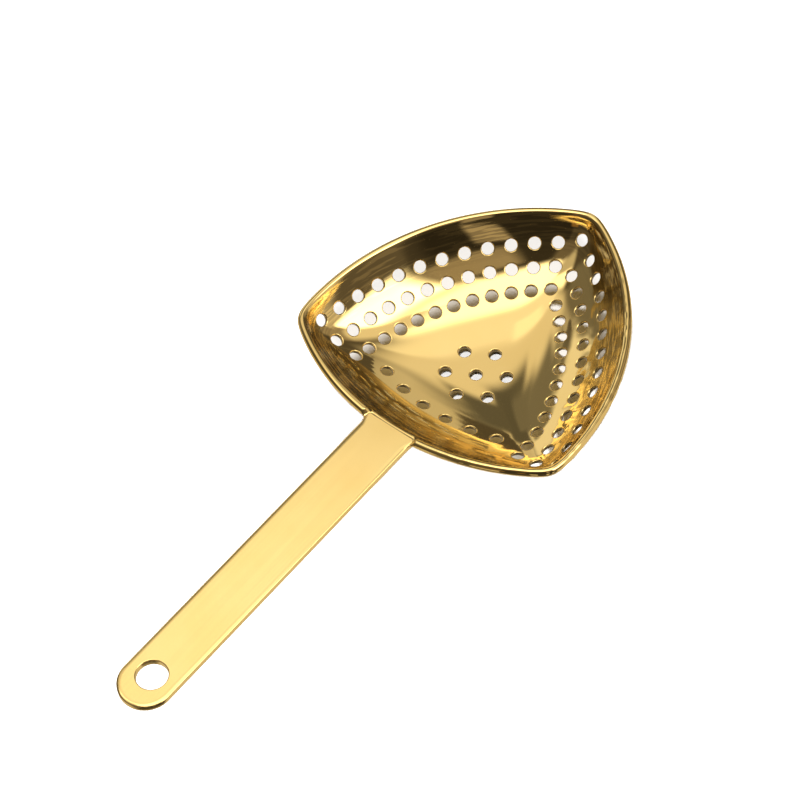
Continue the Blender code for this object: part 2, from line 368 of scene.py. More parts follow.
def bead_section(theta):
    """The rim's section: up the inside, round the bead and down the outside."""
    rim = rim_distance(theta)
    lip_angle = LIP_SLOPE + math.pi / 2
    wall_arc = math.acos(1.0 - SHEET / BEAD_RADIUS)
    drop = BEAD_RADIUS * math.sin(wall_arc) * math.sin(LIP_SLOPE)
    under_level = (1.0 - drop / DISH_DEPTH) ** (1.0 / DISH_POWER)
    inside = wall_section(theta, NET_LEVEL, 1.0, WALL_ROWS, 0.0)[1:]
    bead = arc((rim, 0.0), BEAD_RADIUS, lip_angle, lip_angle + wall_arc - 2 * math.pi, BEAD_STEPS)
    outside = wall_section(theta, under_level, NET_LEVEL, WALL_ROWS, SHEET)[1:-1]
    return np.concatenate([inside[:-1], bead, outside])


def level_at(theta, test):
    """The level between the net's border and the lip where a rising test becomes true."""
    low, high = NET_LEVEL, 1.0
    for _ in range(30):
        middle = (low + high) / 2
        if test(middle):
            high = middle
        else:
            low = middle
    return low


def seat_section(theta):
    """The rim's section in front of the handle: ground flat, with a step that takes the butt."""
    seat = SEAT_X / math.cos(theta)
    lip_angle = LIP_SLOPE + math.pi / 2
    lip_foot = HANDLE_TOP - LIP_EDGE * (1.0 - math.sin(lip_angle))
    top_level = level_at(
        theta, lambda level: wall_section(theta, level, level, 1, 0.0)[0, 1] > lip_foot
    )
    back_level = level_at(
        theta, lambda level: wall_section(theta, level, level, 1, SHEET)[0, 0] > seat
    )
    inside = wall_section(theta, NET_LEVEL, top_level, WALL_ROWS, 0.0)[1:]
    back = wall_section(theta, back_level, NET_LEVEL, WALL_ROWS, SHEET)
    lip = inside[-1, 0] - LIP_EDGE * math.cos(lip_angle)
    turn = arc((lip, HANDLE_TOP - LIP_EDGE), LIP_EDGE, lip_angle, math.pi / 2, BEAD_STEPS // 2)
    edge = np.array([seat, HANDLE_TOP])
    step = np.linspace(edge, back[0], BEAD_STEPS - BEAD_STEPS // 2)
    return np.concatenate([inside[:-1], turn, step, back[1:-1]])


def rim_section(theta):
    """One column of the rim, blended from the bead to the handle's seat."""
    share = np.array([handle_share(theta, FLANK_BLEND), handle_share(theta, HEIGHT_BLEND)])
    if share.max() <= 0.0:
        flat = bead_section(theta)
    elif share.min() >= 1.0:
        flat = seat_section(theta)
    else:
        flat = bead_section(theta) * (1.0 - share) + seat_section(theta) * share
    across = flat[:, 0]
    return np.stack([across * math.cos(theta), across * math.sin(theta), flat[:, 1]], axis=-1)


class Hole:
    """A drain hole: its centre on the dish and the frame that its rings are drawn in."""

    def __init__(self, place):
        start = np.array([[place[0], place[1], 0.0]])
        theta, level = dish_under(start)
        self.level = level
        self.centre = dish_points(theta, level)[0]
        self.axis = dish_normals(theta, level)[0]
        side = Vector(self.axis).orthogonal().normalized()
        self.side = np.array(side)
        self.front = np.cross(self.axis, self.side)

    def ring(self, radius, depth):
        """Points round the hole at a radius and at depths under its centre's tangent plane."""
        turns = 2 * math.pi * np.arange(HOLE_SIDES) / HOLE_SIDES
        radius = np.broadcast_to(radius, HOLE_SIDES)
        around = np.outer(radius * np.cos(turns), self.side)
        around += np.outer(radius * np.sin(turns), self.front)
        return self.centre + around - np.outer(np.broadcast_to(depth, HOLE_SIDES), self.axis)

    def surface_ring(self, radius):
        """Points of the dish round the hole at a radius."""
        return slide_to_dish(self.ring(radius, 0.0), self.axis)

    def depths(self, points):
        """Depths of points under the tangent plane at the hole's centre."""
        return (self.centre - points) @ self.axis

    def radii(self, points):
        """Distances of points from the hole's axis."""
        away = points - self.centre
        return np.linalg.norm(away + np.outer(self.depths(points), self.axis), axis=1)


def hole_wall(skin, hole, inner, outer):
    """Skins one hole from its ring on the inner surface to its ring on the outer surface."""
    last = inner
    turns = np.linspace(0.0, math.pi / 2, EDGE_STEPS + 1)[1:]
    for turn in turns:
        radius = HOLE_RADIUS + HOLE_EDGE * (1.0 - math.sin(turn))
        dish = hole.depths(hole.surface_ring(radius))
        depth = dish + HOLE_EDGE * (1.0 - math.cos(turn))
        line = CUT_LINE if turn == turns[-1] else hole.level
        ring = skin.add(hole.ring(radius, depth), lines=line)
        skin.bridge(last, ring)
        last = ring
    end = np.array([skin.points[v] for v in outer])
    widths = hole.radii(end) - HOLE_RADIUS
    for turn in reversed(turns[1:]):
        depth = hole.depths(end) - HOLE_BACK_EDGE * (1.0 - math.cos(turn))
        radius = HOLE_RADIUS + widths * (1.0 - math.sin(turn))
        ring = skin.add(hole.ring(radius, depth), lines=CUT_LINE)
        skin.bridge(last, ring)
        last = ring
    skin.bridge(last, outer)


def net_points(holes, border, guard):
    """The net's points: border, hole rings, guard, second hole rings and a clear lattice."""
    edge_radius = HOLE_RADIUS + HOLE_EDGE
    first_rings = [hole.surface_ring(edge_radius) for hole in holes]
    second_rings = [hole.surface_ring(edge_radius + RING_GAP) for hole in holes]
    reach = RIM_INRADIUS * 1.4
    lattice = hexagon_lattice((-reach, -reach), (reach, reach), LATTICE_PITCH)
    lattice = np.column_stack([lattice, np.zeros(len(lattice))])
    theta, level = dish_under(lattice)
    inside = level < LATTICE_LEVEL
    lattice = dish_points(theta[inside], level[inside])
    clear = np.ones(len(lattice), dtype=bool)
    for hole in holes:
        away = np.linalg.norm(lattice - hole.centre, axis=1)
        clear &= away > edge_radius + RING_GAP + LATTICE_PITCH / 2
    return np.concatenate([border, *first_rings, guard, *second_rings, lattice[clear]])


def rim_skin(skin, angles, inner_loop, outer_loop):
    """Skins the rim from the net's border inside, over the bead, to its border outside."""
    rims = np.array([rim_section(theta) for theta in angles])
    last = inner_loop
    inside_rows = WALL_ROWS - 1
    for row in range(rims.shape[1]):
        past_net = min(row + 1, inside_rows) / inside_rows * (1.0 - NET_LEVEL)
        past_lip = max(row + 1 - inside_rows, 0) * BEAD_LINE_STEP
        ring = skin.add(rims[:, row], lines=NET_LEVEL + past_net + past_lip)
        skin.bridge(ring, last)
        last = ring
    skin.bridge(outer_loop, last)


def bowl_mesh(origin):
    """The pressed bowl: dish, drain holes, rolled bead and underside in one closed skin."""
    holes = [Hole(place) for place in hole_positions()]
    angles = rim_angles()
    count = len(angles)
    border = dish_points(angles, np.full(count, NET_LEVEL))
    guard = dish_points(angles, np.full(count, GUARD_LEVEL))
    points = net_points(holes, border, guard)
    border_loop = np.arange(count)
    hole_loops = [count + HOLE_SIDES * i + np.arange(HOLE_SIDES) for i in range(len(holes))]
    triangles = fill_plan(points[:, :2], border_loop, hole_loops)
    theta, level = dish_under(points)
    normals = dish_normals(theta, level)
    skin = Skin()
    skin.add(points, normals, level)
    skin.faces += triangles
    shift = len(points)
    skin.add(points - SHEET * normals, -normals, level)
    skin.faces += [tuple(v + shift for v in reversed(t)) for t in triangles]
    for hole, loop in zip(holes, hole_loops):
        hole_wall(skin, hole, loop, loop + shift)
    rim_skin(skin, angles, border_loop, border_loop + shift)
    return skin.make("bowl_fine", origin)


def handle_loop():
    """Plan of the handle; at each point its edge's inset direction and share of roundness."""
    half = HANDLE_WIDTH / 2
    tip_centre = HANDLE_TIP_X + half
    butt = SEAT_X - SEAM
    length = butt - tip_centre
    points, insets = [], []
    for y in np.linspace(-half, half, BUTT_COLUMNS):
        points.append((butt, y))
        insets.append((-BUTT_EDGE_SHARE, -np.sign(y) * (abs(y) == half)))
    near = np.linspace(0.0, BUTT_EASE_LENGTH, 10)[1:]
    beyond = length - BUTT_EASE_LENGTH
    far = np.linspace(0.0, beyond, int(beyond / HANDLE_LATTICE))[1:-1] + BUTT_EASE_LENGTH
    along = np.concatenate([near, far])
    for step in along:
        points.append((butt - step, half))
        insets.append((0.0, -1.0))
    for step in range(TIP_STEPS + 1):
        angle = math.pi / 2 + math.pi * step / TIP_STEPS
        ray = (math.cos(angle), math.sin(angle))
        points.append((tip_centre + half * ray[0], half * ray[1]))
        insets.append((-ray[0], -ray[1]))
    for step in along[::-1]:
        points.append((butt - step, -half))
        insets.append((0.0, 1.0))
    points = np.array(points)
    past = np.clip((butt - points[:, 0]) / BUTT_EASE_LENGTH, 0.0, 1.0)
    ease = BUTT_EASE + (1.0 - BUTT_EASE) * eased(past)
    return points, np.array(insets), ease


def edge_profile(width, under_width, drop):
    """Inset, rounding height and face height, from the top face's border to the bottom's."""
    turns = np.linspace(0.0, math.pi / 2, EDGE_STEPS + 4)
    upper = [(width * (1 - math.sin(t)), -drop * (1 - math.cos(t)), 0.0) for t in turns]
    lower = [
        (under_width * (1 - math.sin(t)), drop * (1 - math.cos(t)), -HANDLE_THICKNESS)
        for t in reversed(turns)
    ]
    return upper + lower


def profile_rings(skin, profile, outline, insets, ease):
    """Rings of vertices along an edge profile; the first and last take the faces' normals."""
    rings = []
    for number, (inset, drop, base) in enumerate(profile):
        flat = outline + insets * inset * ease[:, None]
        points = np.column_stack([flat, HANDLE_TOP + base + drop * ease])
        face = {0: UP, len(profile) - 1: -UP}.get(number)
        normals = None if face is None else np.tile(face, (len(points), 1))
        rings.append(skin.add(points, normals))
    return rings


def handle_lattice(hole_centre):
    """Lattice points of the handle's flat faces, clear of the edges, the butt and the hole."""
    half = HANDLE_WIDTH / 2 - HANDLE_EDGE_WIDTH
    lattice = hexagon_lattice((HANDLE_TIP_X, -half), (SEAT_X, half), HANDLE_LATTICE)
    tip_centre = HANDLE_TIP_X + HANDLE_WIDTH / 2
    from_tip = np.hypot(np.minimum(lattice[:, 0] - tip_centre, 0.0), lattice[:, 1])
    keep = (from_tip < half - LATTICE_MARGIN) & (lattice[:, 0] < SEAT_X - BUTT_MARGIN)
    from_hole = np.linalg.norm(lattice - hole_centre, axis=1)
    keep &= from_hole > HANG_HOLE_RADIUS + HANG_HOLE_EDGE + LATTICE_MARGIN
    return lattice[keep]


def flat_face(skin, border, opening, lattice, face):
    """Fills one flat face between its border, the hole's ring and the lattice points."""
    height = skin.points[border[0]][2]
    inner = np.column_stack([lattice, np.full(len(lattice), height)])
    middle = skin.add(inner, np.tile(face, (len(inner), 1)))
    members = np.concatenate([border, opening, middle])
    plan = np.array(skin.points)[members][:, :2]
    edge = np.arange(len(border))
    ring = len(border) + np.arange(len(opening))
    for triangle in fill_plan(plan, edge, [ring]):
        corners = tuple(members[v] for v in triangle)
        skin.faces.append(corners if face[2] > 0 else tuple(reversed(corners)))


def handle_mesh(origin):
    """The bar handle with eased edges and its hanging hole."""
    outline, insets, ease = handle_loop()
    turns = 2 * math.pi * np.arange(HANG_HOLE_SIDES) / HANG_HOLE_SIDES
    rays = np.stack([np.cos(turns), np.sin(turns)], axis=-1)
    hole_centre = np.array([HANG_HOLE_X, 0.0])
    hole_outline = hole_centre + rays * HANG_HOLE_RADIUS
    skin = Skin()
    profile = edge_profile(HANDLE_EDGE_WIDTH, HANDLE_UNDER_EDGE, HANDLE_EDGE_DROP)
    hole_profile = edge_profile(HANG_HOLE_EDGE, HANG_HOLE_EDGE, HANG_HOLE_EDGE)
    outer_rings = profile_rings(skin, profile, outline, insets, ease)
    hole_rings = profile_rings(skin, hole_profile, hole_outline, rays, np.ones(HANG_HOLE_SIDES))
    for ring, after in zip(outer_rings, outer_rings[1:]):
        skin.bridge(after, ring)
    for ring, after in zip(hole_rings, hole_rings[1:]):
        skin.bridge(ring, after)
    lattice = handle_lattice(hole_centre)
    flat_face(skin, outer_rings[0], hole_rings[0], lattice, UP)
    flat_face(skin, outer_rings[-1], hole_rings[-1], lattice, -UP)
    return skin.make("handle_fine", origin)


def weld_section(step):
    """One section of the weld: round the wall, the handle's underside and the hollow face."""
    under = HANDLE_TOP - HANDLE_THICKNESS
    share = 2 * step / WELD_STEPS - 1
    y = WELD_HALF_LENGTH * share
    leg = WELD_LEG * math.sqrt(max(1.0 - share ** 6, 0.0)) + WELD_END_LEG
    back = [wall_back(y, under - leg * part) for part in (0.0, 0.33, 0.66, 1.0)]
    face_start = np.array([back[0][0] - leg, under])
    face_end = np.array(back[-1])
    corner = np.array([back[0][0], under])
    ripple = 1.0 + WELD_RIPPLE * math.sin(step * 1.9 + 2.0 * math.sin(step * 0.7))
    section = [corner, face_start]
    for part in np.linspace(0.0, 1.0, 9)[1:-1]:
        straight = face_start * (1 - part) + face_end * part
        hollow = WELD_HOLLOW * math.sin(math.pi * part) * ripple
        section.append(straight + (corner - straight) * hollow)
    section += [face_end, np.array(back[2]), np.array(back[1])]
    return [(p[0] - SEAM, y, p[1] - SEAM) for p in section]


def weld_mesh(origin):
    """The fillet weld under the butt, its face hollowed and its ends run out."""
    skin = Skin()
    rings = [skin.add(weld_section(step)) for step in range(WELD_STEPS + 1)]
    close_tube(skin, rings)
    for side in (1, -1):
        weld_toe(skin, side)
    return skin.make("weld_fine", origin)


def close_tube(skin, rings):
    """Joins rings to a tube and closes its ends."""
    for ring, after in zip(rings, rings[1:]):
        skin.bridge(ring[::-1], after[::-1])
    skin.faces.append(tuple(rings[0]))
    skin.faces.append(tuple(rings[-1][::-1]))


def bead_flank(y, z):
    """The x of the bead's outer flank on the handle side, at a given y and height."""
    side_radius = RIM_INRADIUS / RIM_BULGE
    reach = side_radius + math.sqrt(BEAD_RADIUS * BEAD_RADIUS - z * z)
    return side_radius - RIM_INRADIUS - math.sqrt(reach * reach - y * y)


def weld_toe(skin, side):
    """The small hollow fillet between one side of the handle and the bead's outer flank."""
    start = HANDLE_WIDTH / 2 + SEAM
    rings = []
    for part, spread in TOE_SPREADS:
        z = TOE_TOP * (1 - part) + TOE_BOTTOM * part
        leg = TOE_LEG * spread
        corner = np.array([bead_flank(start, z) - SEAM, start])
        along_handle = corner - (leg, 0.0)
        along_bead = np.array([bead_flank(start + leg, z) - SEAM, start + leg])
        section = [corner]
        for turn in np.linspace(0.0, 1.0, TOE_STEPS):
            near = along_handle * (1 - turn) + corner * turn
            far = corner * (1 - turn) + along_bead * turn
            section.append(near * (1 - turn) + far * turn)
        section = section[::side]
        rings.append(skin.add([(x, side * y, z) for x, y in section]))
    close_tube(skin, rings)


def wall_back(y, z):
    """Where the bowl's outer surface on the handle side has a given y and height."""
    low, high = 0.3, 1.0
    for _ in range(40):
        level = (low + high) / 2
        theta = math.pi
        for _ in range(6):
            reach = np.hypot(*dish_points(theta, level)[:2])
            theta = math.pi - math.asin(y / reach)
        point = dish_points(np.array([theta]), np.array([level]))
        back = (point - SHEET * dish_normals(np.array([theta]), np.array([level])))[0]
        if back[2] < z:
            low = level
        else:
            high = level
    return back[0], back[2]


# Colours are linear. GOLD is the plating's reflectance; DEEP_GOLD and WELD_GOLD are its worked
# variants. The two darkest are painted light: dark reflection for the wall streaks and shade for
# the cut hole walls.
GOLD = (0.97, 0.765, 0.37, 1.0)
DEEP_GOLD = (0.95, 0.735, 0.335, 1.0)
# Painted dark reflection for the streaks on the bowl's walls.
DARK_REFLECTION_GOLD = (0.17, 0.14, 0.085, 1.0)
# Painted shade for the cut walls of the drain holes.
SHADED_CUT_GOLD = (0.30, 0.25, 0.17, 1.0)
WELD_GOLD = (0.88, 0.68, 0.31, 1.0)

# Where the bowl is worked, and where its walls get streaks of painted dark reflection: world
# places along the handle's side and the right wall, and levels.
HANDLE_SIDE_X = (17 * MM, 26 * MM)
RIGHT_SIDE_Y = (-8 * MM, -22 * MM)
STREAK_LEVELS = (0.76, 0.9)
DENT_LEVELS = (0.5, 0.75)
LIP_LEVELS = (0.99, 1.01)
CUT_LEVELS = (1.5, 1.9)
STREAKS_PER_METRE = 120.0


def fill(tree, socket, value):
    """Links a socket to another node's output, or sets its value."""
    if isinstance(value, bpy.types.NodeSocket):
        tree.links.new(value, socket)
    else:
        socket.default_value = value


def node(tree, kind, **inputs):
    """Adds a shader node; its inputs are given by name, with underscores for spaces."""
    made = tree.nodes.new(kind)
    for name, value in inputs.items():
        fill(tree, made.inputs[name.replace("_", " ")], value)
    return made


def operate(tree, kind, operation, first, second):
    """The first output of a maths node applied to two values."""
    made = tree.nodes.new(kind)
    made.operation = operation
    fill(tree, made.inputs[0], first)
    fill(tree, made.inputs[1], second)
    return made.outputs[0]


def product(tree, first, second):
    """The product of two values."""
    return operate(tree, "ShaderNodeMath", "MULTIPLY", first, second)


def larger(tree, first, second):
    """The larger of two values."""
    return operate(tree, "ShaderNodeMath", "MAXIMUM", first, second)


def coordinates(tree, scale=(1.0, 1.0, 1.0)):
    """Object coordinates, stretched by a scale along each axis."""
    place = node(tree, "ShaderNodeTexCoord").outputs["Object"]
    mapping = node(tree, "ShaderNodeMapping", Vector=place, Scale=scale)
    return mapping.outputs["Vector"]


def noise(tree, vector, scale, detail=3.0):
    """A noise value between 0 and 1."""
    made = node(tree, "ShaderNodeTexNoise", Vector=vector, Scale=scale, Detail=detail)
    return made.outputs["Fac"]


def between(tree, value, low, high, low_value, high_value):
    """Maps a value's range to another range."""
    made = node(tree, "ShaderNodeMapRange", Value=value, From_Min=low, From_Max=high)
    fill(tree, made.inputs["To Min"], low_value)
    fill(tree, made.inputs["To Max"], high_value)
    return made.outputs["Result"]


def mixed(tree, share, first, second):
    """A colour mixed from two by a share."""
    made = tree.nodes.new("ShaderNodeMix")
    made.data_type = "RGBA"
    fill(tree, made.inputs["Factor"], share)
    # The node has a pair of inputs for each type of data, under the same names.
    colour_inputs = [socket for socket in made.inputs if socket.type == "RGBA"]
    fill(tree, colour_inputs[0], first)
    fill(tree, colour_inputs[1], second)
    return [output for output in made.outputs if output.type == "RGBA"][0]


def bump(tree, height, strength, distance, normal=None):
    """A bump normal from a height, on top of another normal if one is given."""
    made = node(tree, "ShaderNodeBump", Height=height, Strength=strength, Distance=distance)
    if normal:
        fill(tree, made.inputs["Normal"], normal)
    return made.outputs["Normal"]


def metal(name):
    """A metal material and its node tree and shader."""
    material = bpy.data.materials.new(name)
    material.use_nodes = True
    shader = material.node_tree.nodes["Principled BSDF"]
    shader.inputs["Metallic"].default_value = 1.0
    return material, material.node_tree, shader


def drawn_lines(tree, level, fineness):
    """A noise stretched into lines that run round the bowl at a steady level."""
    flat = coordinates(tree, (STREAKS_PER_METRE, STREAKS_PER_METRE, 0.0))
    raised = node(tree, "ShaderNodeCombineXYZ", Z=product(tree, level, fineness))
    place = operate(tree, "ShaderNodeVectorMath", "ADD", flat, raised.outputs["Vector"])
    return noise(tree, place, 1.0, 2.0)


def worked_and_shaded_sides(tree):
    """How far the metal is worked and painted with dark reflections: by the handle and on the
    right wall, and the right alone.
    """
    place = node(tree, "ShaderNodeSeparateXYZ", Vector=coordinates(tree))
    handle_side = between(tree, place.outputs["X"], *HANDLE_SIDE_X, 1.0, 0.12)
    right_side = between(tree, place.outputs["Y"], *RIGHT_SIDE_Y, 0.0, 0.7)
    return larger(tree, handle_side, right_side), right_side


def bowl_material():
    """Mirror-polished gold, marked and dented where the walls are worked, with streaks of painted
    dark reflection on the walls; the cut hole walls are rougher and darkened with painted shade.
    """
    material, tree, shader = metal("polished_bowl_gold")
    line = node(tree, "ShaderNodeAttribute")
    line.attribute_name = "line"
    level = line.outputs["Fac"]
    marks = drawn_lines(tree, level, 60.0)
    hairs = drawn_lines(tree, level, 300.0)
    clouds = noise(tree, coordinates(tree), 60.0, 4.0)
    dents = noise(tree, coordinates(tree), 190.0, 1.0)
    specks = noise(tree, coordinates(tree), 2600.0, 2.0)
    sides, right_side = worked_and_shaded_sides(tree)
    above_holes = between(tree, level, *STREAK_LEVELS, 0.0, 1.0)
    wall = product(tree, above_holes, between(tree, level, *LIP_LEVELS, 1.0, 0.0))
    worked = product(tree, wall, sides)
    hammered = product(tree, between(tree, level, *DENT_LEVELS, 0.0, 1.4), right_side)
    cut = between(tree, level, *CUT_LEVELS, 0.0, 1.0)
    clean = mixed(tree, between(tree, clouds, 0.35, 0.7, 0.0, 1.0), GOLD, DEEP_GOLD)
    streaks = between(tree, marks, 0.44, 0.50, 0.1, 1.0)
    # Streaks of painted dark reflection along the polishing marks, on the walls above the holes,
    # strongest by the handle and on the right wall.
    painted_dark_streaks = product(tree, product(tree, wall, larger(tree, sides, 0.5)), streaks)
    toned = mixed(tree, painted_dark_streaks, clean, DARK_REFLECTION_GOLD)
    # The cut hole walls take painted shade here; their extra roughness is set below.
    fill(tree, shader.inputs["Base Color"], mixed(tree, cut, toned, SHADED_CUT_GOLD))
    polish = between(tree, clouds, 0.3, 0.7, 0.035, 0.075)
    fill(tree, shader.inputs["Roughness"], larger(tree, polish, product(tree, cut, 0.3)))
    normal = bump(tree, product(tree, dents, hammered), 0.5, 0.0007)
    normal = bump(tree, product(tree, marks, worked), 0.5, 0.0002, normal)
    normal = bump(tree, product(tree, hairs, worked), 0.6, 0.00006, normal)
    fill(tree, shader.inputs["Normal"], bump(tree, specks, 0.02, 0.00002, normal))
    return material


def handle_material():
    """Polished gold with fine lengthwise marks and soft clouding from handling."""
    material, tree, shader = metal("polished_handle_gold")
    marks = noise(tree, coordinates(tree, (25.0, 1800.0, 1800.0)), 1.0, 3.0)
    waves = noise(tree, coordinates(tree, (18.0, 60.0, 60.0)), 1.0, 2.0)
    clouds = noise(tree, coordinates(tree), 90.0, 4.0)
    toned = between(tree, clouds, 0.35, 0.7, 0.0, 1.0)
    fill(tree, shader.inputs["Base Color"], mixed(tree, toned, GOLD, DEEP_GOLD))
    fill(tree, shader.inputs["Roughness"], between(tree, marks, 0.3, 0.7, 0.12, 0.17))
    normal = bump(tree, waves, 0.35, 0.0002)
    fill(tree, shader.inputs["Normal"], bump(tree, marks, 0.02, 0.00001, normal))
    return material


def weld_material():
    """Gold over a dressed weld bead: rippled and duller than the sheet."""
    material, tree, shader = metal("dressed_weld_gold")
    ripples = noise(tree, coordinates(tree, (300.0, 900.0, 300.0)), 1.0, 3.0)
    grain = noise(tree, coordinates(tree), 2200.0, 3.0)
    fill(tree, shader.inputs["Base Color"], mixed(tree, ripples, WELD_GOLD, DEEP_GOLD))
    fill(tree, shader.inputs["Roughness"], between(tree, grain, 0.3, 0.7, 0.28, 0.45))
    normal = bump(tree, ripples, 0.4, 0.0002)
    fill(tree, shader.inputs["Normal"], bump(tree, grain, 0.2, 0.00005, normal))
    return material


# Camera: distance and direction to the point that it looks at, and its roll.
CAMERA_TARGET = Vector((0.0141, 0.0031, 0.0142))
CAMERA_DISTANCE = 0.702
CAMERA_AZIMUTH = math.radians(45.06)
CAMERA_ELEVATION = math.radians(53.87)
CAMERA_ROLL = math.radians(-7.07)
CAMERA_LENS = 135.0
CAMERA_SENSOR = 36.0


def ray_towards(azimuth, elevation):
    """Unit vector at an azimuth from +X towards +Y and an elevation above the floor."""
    level = math.cos(elevation)
    return Vector((level * math.cos(azimuth), level * math.sin(azimuth), math.sin(elevation)))


def make_camera():
    """The camera, rolled a little about its view; returns its place."""
    data = bpy.data.cameras.new("camera")
    data.lens = CAMERA_LENS
    data.sensor_width = CAMERA_SENSOR
    camera = bpy.data.objects.new("camera", data)
    bpy.context.collection.objects.link(camera)
    forward = ray_towards(CAMERA_AZIMUTH, -CAMERA_ELEVATION)
    level_right = forward.cross(Vector((0.0, 0.0, 1.0))).normalized()
    level_up = level_right.cross(forward)
    right = level_right * math.cos(CAMERA_ROLL) + level_up * math.sin(CAMERA_ROLL)
    up = right.cross(forward)
    place = CAMERA_TARGET - forward * CAMERA_DISTANCE
    turn = Matrix((right, up, -forward)).transposed().to_4x4()
    camera.matrix_world = Matrix.Translation(place) @ turn
    bpy.context.scene.camera = camera
    return place


# Studio: cards on a dome, each layer a little inside the one before, a floor and two lamps.
CARD_RADIUS = 1.6
CARD_LAYER = 0.02
CARD_STEPS = 16
FLOOR_HALF_SIZE = 0.7
FLOOR_HEIGHT = -0.02 * MM
FRONT_LAMP_POWER = 34.0
FRONT_LAMP_SIZE = 0.018
BACK_LAMP_STRENGTH = 4.0
BACK_LAMP_AZIMUTH = math.radians(58.0)
BACK_LAMP_ELEVATION = math.radians(44.5)
BACK_LAMP_ANGLE = math.radians(10.0)
BOWL_SHADE_SHARE = 0.17
BOWL_SHADE_LEVEL = 0.93
BOWL_SHADE_SIDES = 96


def smooth_step(tree, value, start, end):
    """Smoothly rises from 0 at the start to 1 at the end."""
    made = node(tree, "ShaderNodeMapRange", Value=value, From_Min=start, From_Max=end)
    made.interpolation_type = "SMOOTHSTEP"
    return made.outputs["Result"]


def blended(tree, share, first, second):
    """A surface mixed from two by a share."""
    made = node(tree, "ShaderNodeMixShader", Fac=share)
    fill(tree, made.inputs[1], first)
    fill(tree, made.inputs[2], second)
    return made.outputs["Shader"]


def card_material(name, colour, strength, fades):
    """Light given off by a card, fading out over shares of its left, right, low and high side."""
    material = bpy.data.materials.new(name)
    material.use_nodes = True
    tree = material.node_tree
    tree.nodes.clear()
    place = node(tree, "ShaderNodeUVMap").outputs["UV"]
    parts = node(tree, "ShaderNodeSeparateXYZ", Vector=place)
    across, upward = parts.outputs["X"], parts.outputs["Y"]
    left, right, low, high = fades
    share = 1.0
    for value, start, end in (
        (across, 0.0, left),
        (across, 1.0, 1.0 - right),
        (upward, 0.0, low),
        (upward, 1.0, 1.0 - high),
    ):
        if start != end:
            share = product(tree, share, smooth_step(tree, value, start, end))
    shine = node(tree, "ShaderNodeEmission", Color=(*colour, 1.0), Strength=strength)
    clear = node(tree, "ShaderNodeBsdfTransparent")
    surface = blended(tree, share, clear.outputs["BSDF"], shine.outputs["Emission"])
    node(tree, "ShaderNodeOutputMaterial", Surface=surface)
    material.cycles.emission_sampling = "NONE"
    return material


def card_mesh(name, azimuths, elevations, radius):
    """A patch of a sphere between two azimuths and two elevations, given in degrees."""
    width = CARD_STEPS + 1
    verts, faces, places = [], [], []
    for row in range(width):
        for column in range(width):
            u, v = column / CARD_STEPS, row / CARD_STEPS
            azimuth = math.radians(azimuths[0] + (azimuths[1] - azimuths[0]) * u)
            elevation = math.radians(elevations[0] + (elevations[1] - elevations[0]) * v)
            verts.append(ray_towards(azimuth, elevation) * radius)
            places.append((u, v))
    for row in range(CARD_STEPS):
        for column in range(CARD_STEPS):
            corner = row * width + column
            faces.append((corner, corner + width, corner + width + 1, corner + 1))
    mesh = bpy.data.meshes.new(name)
    mesh.from_pydata(verts, [], faces)
    plan = mesh.uv_layers.new(name="UVMap")
    for loop in mesh.loops:
        plan.data[loop.index].uv = places[loop.vertex_index]
    return mesh


def make_card(name, azimuths, elevations, colour, strength, fades, layer):
    """A curved studio card that only polished surfaces see, over ranges given in degrees."""
    mesh = card_mesh(name, azimuths, elevations, CARD_RADIUS - CARD_LAYER * layer)
    mesh.materials.append(card_material(name, colour, strength, fades))
    card = bpy.data.objects.new(name, mesh)
    bpy.context.collection.objects.link(card)
    card.visible_camera = False
    card.visible_diffuse = False
    card.visible_shadow = False


# The cards' colours, each warmer than the one before.
WHITE = (0.99, 0.89, 0.68)
CREAM = (0.99, 0.865, 0.63)
TAN = (0.99, 0.84, 0.59)
BROWN = (0.99, 0.80, 0.55)
ORANGE = (0.99, 0.54, 0.17)


